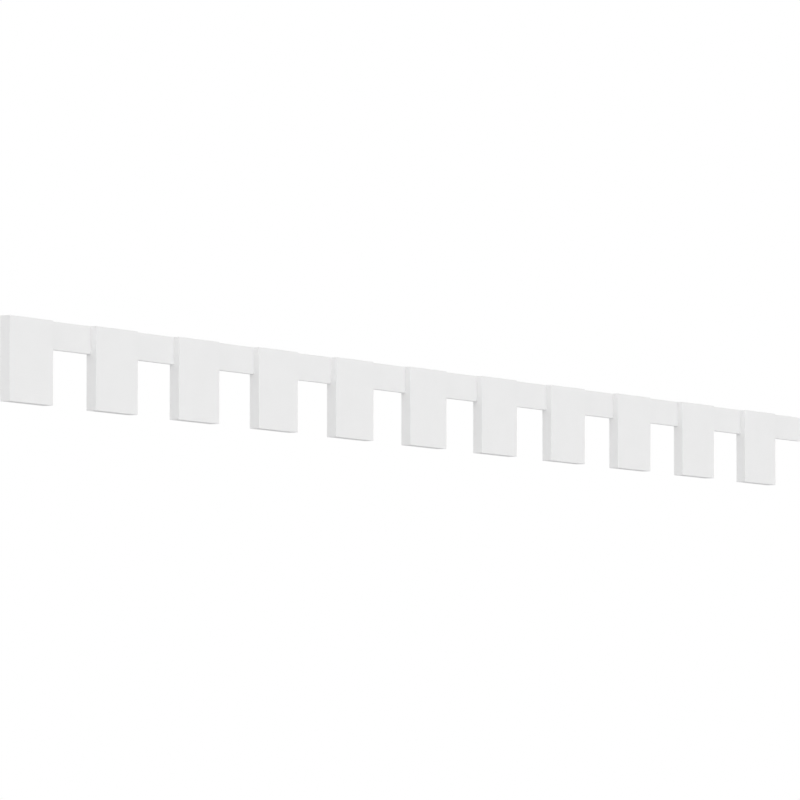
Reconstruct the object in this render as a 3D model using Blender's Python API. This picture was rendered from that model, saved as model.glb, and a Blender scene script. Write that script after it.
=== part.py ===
"""A length of flat dentil moulding in one piece.

A thin strip, the web, carries a row of square-edged blocks, the dentils. Their tops and backs are flush
with the web's. They stand forward of it and hang below it, so the gaps are open under the web. The left
end is cut along a dentil's side, and the right end is a bare stretch of web.

Metres, +Z up. The length runs along X, the front faces -Y, and the back lies in the plane y = 0. The
origin is on the back face, at half the length and half the web's height.
"""

import math

import bmesh
import bpy

# Driving dimensions, in metres
DENTIL_COUNT = 11
DENTIL_WIDTH = 0.1105
GAP_WIDTH = 0.1115
TAIL_LENGTH = 0.1095  # the bare web past the last dentil
DENTIL_HEIGHT = 0.119
DENTIL_DEPTH = 0.016
WEB_HEIGHT = 0.0395
WEB_THICKNESS = 0.007
ARRIS_RADIUS = 0.0007  # the easing of the outer corners that show, apart from those of the sawn ends
ARRIS_SEGMENTS = 2

# Worked out from the driving dimensions
PITCH = DENTIL_WIDTH + GAP_WIDTH
LENGTH = DENTIL_COUNT * PITCH - GAP_WIDTH + TAIL_LENGTH
LEFT_END = -LENGTH / 2
RIGHT_END = LENGTH / 2
BACK = 0.0
WEB_FRONT = BACK - WEB_THICKNESS
DENTIL_FRONT = BACK - DENTIL_DEPTH
TOP = WEB_HEIGHT / 2
WEB_BOTTOM = TOP - WEB_HEIGHT
DENTIL_BOTTOM = TOP - DENTIL_HEIGHT

# How near two planes are taken as one, in metres, and the least turn between two faces at a corner
SAME_PLANE = 0.00001
CORNER_ANGLE = math.radians(45)
ROUND_PROFILE = 0.5  # the bevel's value for an arc of a circle

FINISH_COLOUR = (0.83, 0.83, 0.83, 1.0)
FINISH_ROUGHNESS = 0.55


def clear_scene():
    """Removes what Blender starts with."""
    for obj in list(bpy.data.objects):
        bpy.data.objects.remove(obj, do_unlink=True)


def dentil_spans():
    """Where each dentil starts and ends along the length."""
    starts = [LEFT_END + index * PITCH for index in range(DENTIL_COUNT)]
    return [(start, start + DENTIL_WIDTH) for start in starts]


def web_spans():
    """Where each bare stretch of web starts and ends: one after every dentil, the tail last."""
    dentils = dentil_spans()
    ends = [start for start, _ in dentils[1:]] + [RIGHT_END]
    return [(dentil_end, end) for (_, dentil_end), end in zip(dentils, ends)]


def stepped_outline(corner, base, dentil, web):
    """The outline of a face that runs the whole length, from corner(x, across).

    Its long straight side lies at base. Opposite, it steps between where the dentils and the web end.
    """
    outline = [corner(LEFT_END, base)]
    for (left, right), (_, web_end) in zip(dentil_spans(), web_spans()):
        outline += [corner(left, dentil), corner(right, dentil), corner(right, web), corner(web_end, web)]
    return outline + [corner(RIGHT_END, base)]


def rectangle(corner, first, second):
    """The outline of a face between two values each way, from corner(first value, second value)."""
    (low, high), (near, far) = first, second
    return [corner(low, near), corner(high, near), corner(high, far), corner(low, far)]


def dentil_side(x):
    """The outline of a dentil's side that the web meets: it wraps round the web's front and underside."""
    web_notch = [(x, WEB_FRONT, TOP), (x, WEB_FRONT, WEB_BOTTOM), (x, BACK, WEB_BOTTOM)]
    return web_notch + [(x, BACK, DENTIL_BOTTOM), (x, DENTIL_FRONT, DENTIL_BOTTOM), (x, DENTIL_FRONT, TOP)]


def outlines():
    """The corners of every flat face of the moulding, with square corners."""
    dentil_depth, dentil_height = (BACK, DENTIL_FRONT), (TOP, DENTIL_BOTTOM)
    web_depth, web_height = (BACK, WEB_FRONT), (TOP, WEB_BOTTOM)

    yield stepped_outline(lambda x, z: (x, BACK, z), TOP, DENTIL_BOTTOM, WEB_BOTTOM)
    yield stepped_outline(lambda x, y: (x, y, TOP), BACK, DENTIL_FRONT, WEB_FRONT)
    yield rectangle(lambda y, z: (LEFT_END, y, z), dentil_depth, dentil_height)
    yield rectangle(lambda y, z: (RIGHT_END, y, z), web_depth, web_height)
    for left, right in dentil_spans():
        yield rectangle(lambda x, z: (x, DENTIL_FRONT, z), (left, right), dentil_height)
        yield rectangle(lambda x, y: (x, y, DENTIL_BOTTOM), (left, right), dentil_depth)
    for left, right in web_spans():
        yield rectangle(lambda x, z: (x, WEB_FRONT, z), (left, right), web_height)
        yield rectangle(lambda x, y: (x, y, WEB_BOTTOM), (left, right), web_depth)
        yield dentil_side(left)
        if right != RIGHT_END:
            yield dentil_side(right)


def build_faces(bm):
    """Makes the faces, which share their corners, and turns them outwards."""
    corners = {}
    for outline in outlines():
        for point in outline:
            if point not in corners:
                corners[point] = bm.verts.new(point)
        bm.faces.new([corners[point] for point in outline])
    bmesh.ops.recalc_face_normals(bm, faces=bm.faces)


def lies_in_plane(edge, axis, value):
    """True where both of an edge's ends have this value on the axis named."""
    return all(abs(getattr(vert.co, axis) - value) < SAME_PLANE for vert in edge.verts)


def is_eased(edge):
    """True for an outer corner that shows: not one of the back, or of the two sawn ends."""
    if edge.calc_face_angle_signed() < CORNER_ANGLE:
        return False
    planes_left_sharp = (("x", LEFT_END), ("x", RIGHT_END), ("y", BACK))
    return not any(lies_in_plane(edge, axis, value) for axis, value in planes_left_sharp)


def ease_arrises(bm):
    """Rounds the outer corners that show by the arris radius."""
    bmesh.ops.bevel(
        bm,
        geom=[edge for edge in bm.edges if is_eased(edge)],
        affect="EDGES",
        offset_type="OFFSET",
        offset=ARRIS_RADIUS,
        segments=ARRIS_SEGMENTS,
        profile=ROUND_PROFILE,
    )


def moulding_mesh():
    """The web and its dentils as one closed mesh."""
    bm = bmesh.new()
    build_faces(bm)
    ease_arrises(bm)
    mesh = bpy.data.meshes.new("dentil_moulding")
    bm.to_mesh(mesh)
    bm.free()
    return mesh


def white_finish():
    """The plain white finish."""
    material = bpy.data.materials.new("white_finish")
    material.use_nodes = True
    shader = material.node_tree.nodes["Principled BSDF"]
    shader.inputs["Base Color"].default_value = FINISH_COLOUR
    shader.inputs["Roughness"].default_value = FINISH_ROUGHNESS
    shader.inputs["Metallic"].default_value = 0.0
    return material


def main():
    clear_scene()
    moulding = bpy.data.objects.new("dentil_moulding", moulding_mesh())
    moulding.data.materials.append(white_finish())
    bpy.context.scene.collection.objects.link(moulding)


main()
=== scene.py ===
"""The looks of a length of white dentil moulding: its finished surface, the studio and the camera.

Metres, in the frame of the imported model: the length runs along X, the front faces -Y, and +Z is up.
"""
import math

import bmesh
import bpy
from mathutils import Matrix, Vector


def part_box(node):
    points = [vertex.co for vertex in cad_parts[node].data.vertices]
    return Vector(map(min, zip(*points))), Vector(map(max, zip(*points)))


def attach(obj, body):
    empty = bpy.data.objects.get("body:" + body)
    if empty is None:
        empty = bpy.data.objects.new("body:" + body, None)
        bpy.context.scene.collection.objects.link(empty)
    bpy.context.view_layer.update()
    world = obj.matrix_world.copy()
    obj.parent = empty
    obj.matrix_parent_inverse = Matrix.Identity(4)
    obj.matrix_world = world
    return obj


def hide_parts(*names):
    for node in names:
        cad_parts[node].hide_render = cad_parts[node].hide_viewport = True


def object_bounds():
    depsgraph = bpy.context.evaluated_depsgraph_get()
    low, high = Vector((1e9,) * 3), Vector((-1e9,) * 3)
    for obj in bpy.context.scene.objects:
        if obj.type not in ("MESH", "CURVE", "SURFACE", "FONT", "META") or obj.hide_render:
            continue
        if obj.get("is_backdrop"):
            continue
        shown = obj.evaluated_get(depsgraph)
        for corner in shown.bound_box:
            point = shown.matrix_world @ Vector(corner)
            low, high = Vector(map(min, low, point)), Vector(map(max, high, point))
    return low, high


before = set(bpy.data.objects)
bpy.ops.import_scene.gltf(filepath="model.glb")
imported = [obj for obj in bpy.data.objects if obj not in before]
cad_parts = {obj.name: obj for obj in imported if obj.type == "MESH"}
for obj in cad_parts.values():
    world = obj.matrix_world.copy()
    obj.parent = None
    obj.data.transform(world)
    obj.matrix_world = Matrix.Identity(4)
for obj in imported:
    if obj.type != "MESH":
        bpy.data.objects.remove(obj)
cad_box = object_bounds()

MM = 0.001

# The moulding, whose outer planes come from the frame and whose steps are these sizes
DENTIL_COUNT = 11
DENTIL_WIDTH = 110.5 * MM
PITCH = 222 * MM
WEB_HEIGHT = 39.5 * MM
WEB_THICKNESS = 7 * MM
LOWEST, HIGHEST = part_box("dentil_moulding")
LEFT_END, DENTIL_FRONT, DENTIL_BOTTOM = LOWEST
RIGHT_END, BACK, TOP = HIGHEST
WEB_FRONT = BACK - WEB_THICKNESS
WEB_BOTTOM = TOP - WEB_HEIGHT

# How round the corners are, the inner ones too
ARRIS_RADIUS = 0.25 * MM
SHARP_SHARE = 0.4  # of the arris radius, round the back and the two ends
ARRIS_SEGMENTS = 4
SAME_PLANE = 0.02 * MM  # a corner nearer to a plane than this lies in it

# The camera. Its place is told from the first dentil's upper front left corner, as that corner lies to
# the right of the camera, below it and ahead of it.
IMAGE_WIDTH_PX = 800
FOCAL_LENGTH_PX = 7022.0
SENSOR_WIDTH_MM = 36
VIEW_FROM_SQUARE = math.radians(60.007)
VIEW_UPWARD = math.radians(3.9933)
CORNER_RIGHT = -0.53897
CORNER_BELOW = -0.11758
CORNER_AHEAD = 9.70263
NEAREST_SEEN = 0.1
FARTHEST_SEEN = 200

# The studio
FLOOR_HEIGHT = -1.3
FLOOR_RADIUS = 60.0
FLOOR_SIDES = 64
FLOOR_GREY = 0.8
FLOOR_LIFT = 0.3  # added to the floor's tone as the camera sees it, to come near the backdrop's
BACKDROP_GREY = 1.0
DOME_LIGHT = 0.527  # from all round
DOME_PATCHES = (  # where each patch of more light is, how strong it is, and how narrow
    ((0, -1, 0), 1.96, 4),
    ((-0.94, -0.34, 0.15), 1.92, 30),
    ((-1, 0, 0.35), 1.66, 20),
    ((0, 1, 0), 1.5, 6),
    ((1, 0, 0), 0.4, 6),
)

# The white board's tone and gloss. Each spread is the most that a value strays from its middle.
WHITE = 0.85
WHITE_SPREAD = 0.006
MOTTLE_SIZE = 45 * MM
SKIN_ROUGHNESS = 0.5
CUT_ROUGHNESS = 0.6
ROUGHNESS_SPREAD = 0.07
HANDLING_SIZE = 18 * MM

# The relief that its making left: the grain and the die lines of its skin, the foam's cells where it is
# cut, the ripple of a cutter, and the arcs of a saw blade
SKIN_GRAIN_SIZE = 1.6 * MM
SKIN_GRAIN_DEPTH = 0.15 * MM
DIE_LINE_LENGTH = 500 * MM
DIE_LINE_SPACING = 1.1 * MM
DIE_LINE_DEPTH = 0.07 * MM
FOAM_CELL_SIZE = 0.45 * MM
FOAM_CELL_DEPTH = 0.035 * MM
RIPPLE_SPACING = 1.4 * MM
RIPPLE_DEPTH = 0.035 * MM
RIPPLE_WANDER = 0.8
BLADE_CENTRE = (0, -110 * MM, -150 * MM)
BLADE_MARK_SPACING = 1.1 * MM
BLADE_MARK_DEPTH = 0.06 * MM
BLADE_MARK_WANDER = 1.5
WANDER_SCALE = 0.1  # how slowly the marks wander, as a share of their own scale

# How many finer layers each noise has
MOTTLE_DETAIL = 6
HANDLING_DETAIL = 3
SKIN_GRAIN_DETAIL = 2
DIE_LINE_DETAIL = 2
FOAM_CELL_DETAIL = 1

NOISE_LOW, NOISE_HIGH = 0.3, 0.7  # what nearly all of a noise lies between
WAVE_NODE_TURNS = 20 / math.tau  # a wave node's bands in one unit of length, at scale 1
SKIN, MILLED, SAWN = 0, 1, 2  # the materials' slots on the mesh


def dentil_spans():
    """Where each dentil starts and ends along the length."""
    starts = [LEFT_END + index * PITCH for index in range(DENTIL_COUNT)]
    return [(start, start + DENTIL_WIDTH) for start in starts]


def web_spans():
    """Where each bare stretch of web starts and ends: one after every dentil."""
    dentils = dentil_spans()
    ends = [start for start, _ in dentils[1:]] + [RIGHT_END]
    return [(dentil_end, end) for (_, dentil_end), end in zip(dentils, ends)]


def stepped_outline(corner, base, dentil, web):
    """The outline of a face that runs the whole length, straight at base and stepped on its other side."""
    outline = [corner(LEFT_END, base)]
    for (left, right), (_, web_end) in zip(dentil_spans(), web_spans()):
        outline += [corner(left, dentil), corner(right, dentil), corner(right, web), corner(web_end, web)]
    return outline + [corner(RIGHT_END, base)]


def rectangle(corner, first, second):
    """The outline of a face between two values each way."""
    (low, high), (near, far) = first, second
    return [corner(low, near), corner(high, near), corner(high, far), corner(low, far)]


def dentil_side(x):
    """The outline of a dentil's side that the web meets."""
    web_notch = [(x, WEB_FRONT, TOP), (x, WEB_FRONT, WEB_BOTTOM), (x, BACK, WEB_BOTTOM)]
    return web_notch + [(x, BACK, DENTIL_BOTTOM), (x, DENTIL_FRONT, DENTIL_BOTTOM), (x, DENTIL_FRONT, TOP)]


def outlines():
    """Each flat face of the moulding: how it was made, and its corners."""
    dentil_depth, dentil_height = (BACK, DENTIL_FRONT), (TOP, DENTIL_BOTTOM)
    web_depth, web_height = (BACK, WEB_FRONT), (TOP, WEB_BOTTOM)

    yield SKIN, stepped_outline(lambda x, z: (x, BACK, z), TOP, DENTIL_BOTTOM, WEB_BOTTOM)
    yield SKIN, stepped_outline(lambda x, y: (x, y, TOP), BACK, DENTIL_FRONT, WEB_FRONT)
    yield SAWN, rectangle(lambda y, z: (LEFT_END, y, z), dentil_depth, dentil_height)
    yield SAWN, rectangle(lambda y, z: (RIGHT_END, y, z), web_depth, web_height)
    for span in dentil_spans():
        yield SKIN, rectangle(lambda x, z: (x, DENTIL_FRONT, z), span, dentil_height)
        yield SKIN, rectangle(lambda x, y: (x, y, DENTIL_BOTTOM), span, dentil_depth)
    for span in web_spans():
        yield MILLED, rectangle(lambda x, z: (x, WEB_FRONT, z), span, web_height)
        yield MILLED, rectangle(lambda x, y: (x, y, WEB_BOTTOM), span, web_depth)
        for x in span:
            if x != RIGHT_END:
                yield SAWN, dentil_side(x)


def roundness(edge):
    """How round an edge is, as a share of the arris radius."""
    def lies_in_plane(axis, value):
        return all(abs(getattr(vert.co, axis) - value) < SAME_PLANE for vert in edge.verts)

    sharper = (("x", LEFT_END), ("x", RIGHT_END), ("y", BACK))
    return SHARP_SHARE if any(lies_in_plane(axis, value) for axis, value in sharper) else 1.0


def moulding_mesh():
    """The square-cornered faces as one closed mesh, with how round each edge is to be stored on it."""
    bm = bmesh.new()
    corners = {}
    for kind, outline in outlines():
        for point in outline:
            if point not in corners:
                corners[point] = bm.verts.new(point)
        face = bm.faces.new([corners[point] for point in outline])
        face.material_index = kind
        face.smooth = True
    bmesh.ops.recalc_face_normals(bm, faces=bm.faces)
    share = bm.edges.layers.float.new("bevel_weight_edge")
    for edge in bm.edges:
        edge[share] = roundness(edge)
    mesh = bpy.data.meshes.new("white_moulding")
    bm.to_mesh(mesh)
    bm.free()
    return mesh


def make_moulding():
    """The finished moulding, in place of the CAD solid, with its corners eased."""
    moulding = bpy.data.objects.new("white_moulding", moulding_mesh())
    bpy.context.scene.collection.objects.link(moulding)
    for material in (board_skin(), milled_face(), sawn_face()):
        moulding.data.materials.append(material)
    easing = moulding.modifiers.new("eased corners", "BEVEL")
    easing.limit_method = "WEIGHT"
    easing.width = ARRIS_RADIUS
    easing.segments = ARRIS_SEGMENTS
    easing.harden_normals = True
    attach(moulding, "root")
    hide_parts("dentil_moulding")


def node_adder(tree):
    """Empties a node tree and gives a function that adds a node to it, with its inputs set or linked."""
    tree.nodes.clear()

    def add(kind, inputs, **settings):
        node = tree.nodes.new("ShaderNode" + kind)
        for name, value in settings.items():
            setattr(node, name, value)
        for socket, value in inputs.items():
            if isinstance(value, bpy.types.NodeSocket):
                tree.links.new(value, node.inputs[socket])
            else:
                node.inputs[socket].default_value = value
        return node

    return add


def new_material(name):
    """A material and the function that adds its nodes."""
    material = bpy.data.materials.new(name)
    material.use_nodes = True
    return material, node_adder(material.node_tree)


def grey(level):
    """A grey as a colour, from 0 for black to 1 for white."""
    return (level, level, level, 1)


def noise(add, place, size, detail):
    """A soft random value from 0 to 1, whose patches are about this size."""
    return add("TexNoise", {"Vector": place, "Scale": 1 / size, "Detail": detail}).outputs["Fac"]


def straying(add, value, middle, spread):
    """Turns a noise into a value that strays from its middle by no more than the spread."""
    source = {"Value": value, "From Min": NOISE_LOW, "From Max": NOISE_HIGH}
    return add("MapRange", {**source, "To Min": middle - spread, "To Max": middle + spread}).outputs["Result"]


def raised(add, height, depth, surface=None):
    """A surface with a pattern of heights on it, over the surface given."""
    inputs = {"Distance": depth, "Height": height}
    if surface:
        inputs["Normal"] = surface
    return add("Bump", inputs).outputs["Normal"]


def white_board(name, roughness, relief):
    """White board, close to one tone and one gloss, with the relief that its making left."""
    material, add = new_material(name)
    place = add("TexCoord", {}).outputs["Object"]
    mottle = noise(add, place, MOTTLE_SIZE, MOTTLE_DETAIL)
    handling = noise(add, place, HANDLING_SIZE, HANDLING_DETAIL)
    shader = add("BsdfPrincipled", {
        "Base Color": straying(add, mottle, WHITE, WHITE_SPREAD),
        "Roughness": straying(add, handling, roughness, ROUGHNESS_SPREAD),
        "Normal": relief(add, place),
    })
    add("OutputMaterial", {"Surface": shader.outputs["BSDF"]})
    return material


def board_skin():
    """The board's own skin: a faint grain, and fine lines along the length from its die."""
    def relief(add, place):
        grain = noise(add, place, SKIN_GRAIN_SIZE, SKIN_GRAIN_DETAIL)
        line_scale = (1 / DIE_LINE_LENGTH, 1 / DIE_LINE_SPACING, 1 / DIE_LINE_SPACING)
        drawn = add("Mapping", {"Vector": place, "Scale": line_scale}).outputs["Vector"]
        lines = noise(add, drawn, 1, DIE_LINE_DETAIL)
        return raised(add, lines, DIE_LINE_DEPTH, raised(add, grain, SKIN_GRAIN_DEPTH))

    return white_board("board_skin", SKIN_ROUGHNESS, relief)


def tool_marks(add, place, spacing, wander, **pattern):
    """Even waves this far apart, which wander a little."""
    inputs = {
        "Vector": place,
        "Scale": 1 / (spacing * WAVE_NODE_TURNS),
        "Distortion": wander,
        "Detail Scale": WANDER_SCALE,
    }
    return add("TexWave", inputs, **pattern).outputs["Fac"]


def cut_relief(add, place, marks, depth):
    """The tool's marks, over the cells of the foam that a cut lays open."""
    cells = noise(add, place, FOAM_CELL_SIZE, FOAM_CELL_DETAIL)
    return raised(add, marks, depth, raised(add, cells, FOAM_CELL_DEPTH))


def milled_face():
    """The strip's face and underside: the even ripple of a cutter that ran along the length."""
    def relief(add, place):
        bands = {"wave_type": "BANDS", "bands_direction": "X"}
        marks = tool_marks(add, place, RIPPLE_SPACING, RIPPLE_WANDER, **bands)
        return cut_relief(add, place, marks, RIPPLE_DEPTH)

    return white_board("milled_face", CUT_ROUGHNESS, relief)


def sawn_face():
    """The blocks' sides and the two ends: the arcs of a round blade."""
    def relief(add, place):
        rings = {"wave_type": "RINGS", "rings_direction": "X"}
        offset = {0: place, 1: BLADE_CENTRE}
        from_centre = add("VectorMath", offset, operation="SUBTRACT").outputs["Vector"]
        marks = tool_marks(add, from_centre, BLADE_MARK_SPACING, BLADE_MARK_WANDER, **rings)
        return cut_relief(add, place, marks, BLADE_MARK_DEPTH)

    return white_board("sawn_face", CUT_ROUGHNESS, relief)


def make_floor():
    """A plain pale floor well below the moulding. It shows from above only."""
    bm = bmesh.new()
    bmesh.ops.create_circle(bm, cap_ends=True, segments=FLOOR_SIDES, radius=FLOOR_RADIUS)
    mesh = bpy.data.meshes.new("floor")
    bm.to_mesh(mesh)
    bm.free()
    floor = bpy.data.objects.new("floor", mesh)
    floor.location = (0, 0, FLOOR_HEIGHT)
    bpy.context.scene.collection.objects.link(floor)
    material, add = new_material("pale_floor")
    paint = add("BsdfDiffuse", {"Color": grey(FLOOR_GREY)}).outputs["BSDF"]
    seen = add("LightPath", {}).outputs["Is Camera Ray"]
    lift = add("Math", {0: seen, 1: FLOOR_LIFT}, operation="MULTIPLY").outputs["Value"]
    glow = add("Emission", {"Strength": lift}).outputs["Emission"]
    lifted = add("AddShader", {0: paint, 1: glow}).outputs["Shader"]
    from_below = add("NewGeometry", {}).outputs["Backfacing"]
    clear = add("BsdfTransparent", {}).outputs["BSDF"]
    shown = add("MixShader", {"Fac": from_below, 1: lifted, 2: clear}).outputs["Shader"]
    add("OutputMaterial", {"Surface": shown})
    mesh.materials.append(material)
    floor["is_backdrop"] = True


def make_dome():
    """Soft light from all round, stronger in broad patches, in front of a plain white backdrop."""
    world = bpy.data.worlds.new("studio")
    bpy.context.scene.world = world
    world.use_nodes = True
    add = node_adder(world.node_tree)
    direction = add("TexCoord", {}).outputs["Generated"]
    total = DOME_LIGHT
    for towards, strength, narrowness in DOME_PATCHES:
        middle = Vector(towards).normalized()
        facing = add("VectorMath", {0: direction, 1: middle}, operation="DOT_PRODUCT").outputs["Value"]
        ahead = add("Math", {0: facing, 1: 0}, operation="MAXIMUM").outputs["Value"]
        patch = add("Math", {0: ahead, 1: narrowness}, operation="POWER").outputs["Value"]
        lit = add("Math", {0: patch, 1: strength, 2: total}, operation="MULTIPLY_ADD")
        total = lit.outputs["Value"]

    light = add("Background", {"Color": grey(1), "Strength": total}).outputs["Background"]
    backdrop = add("Background", {"Color": grey(BACKDROP_GREY)}).outputs["Background"]
    seen = add("LightPath", {}).outputs["Is Camera Ray"]
    shown = add("MixShader", {"Fac": seen, 1: light, 2: backdrop}).outputs["Shader"]
    add("OutputWorld", {"Surface": shown})


def make_camera():
    """The camera, level across and tilted a little upwards, to the left of the moulding and below it."""
    turn, tilt = VIEW_FROM_SQUARE, VIEW_UPWARD
    right = Vector((math.cos(turn), -math.sin(turn), 0))
    ahead = Vector((math.sin(turn) * math.cos(tilt), math.cos(turn) * math.cos(tilt), math.sin(tilt)))
    below = ahead.cross(right)
    corner = Vector((LEFT_END, DENTIL_FRONT, TOP))
    place = corner - CORNER_RIGHT * right - CORNER_BELOW * below - CORNER_AHEAD * ahead

    data = bpy.data.cameras.new("camera")
    data.sensor_width = SENSOR_WIDTH_MM
    data.lens = FOCAL_LENGTH_PX / IMAGE_WIDTH_PX * SENSOR_WIDTH_MM
    data.clip_start = NEAREST_SEEN
    data.clip_end = FARTHEST_SEEN
    camera = bpy.data.objects.new("camera", data)
    camera.matrix_world = Matrix.Translation(place) @ Matrix((right, -below, -ahead)).transposed().to_4x4()
    bpy.context.scene.collection.objects.link(camera)
    bpy.context.scene.camera = camera


make_camera()
make_dome()
make_floor()
make_moulding()
bpy.context.scene.view_settings.view_transform = "Standard"

boxes = {"cad": cad_box, "visual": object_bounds()}
{name: [list(corner) for corner in box] for name, box in boxes.items()}
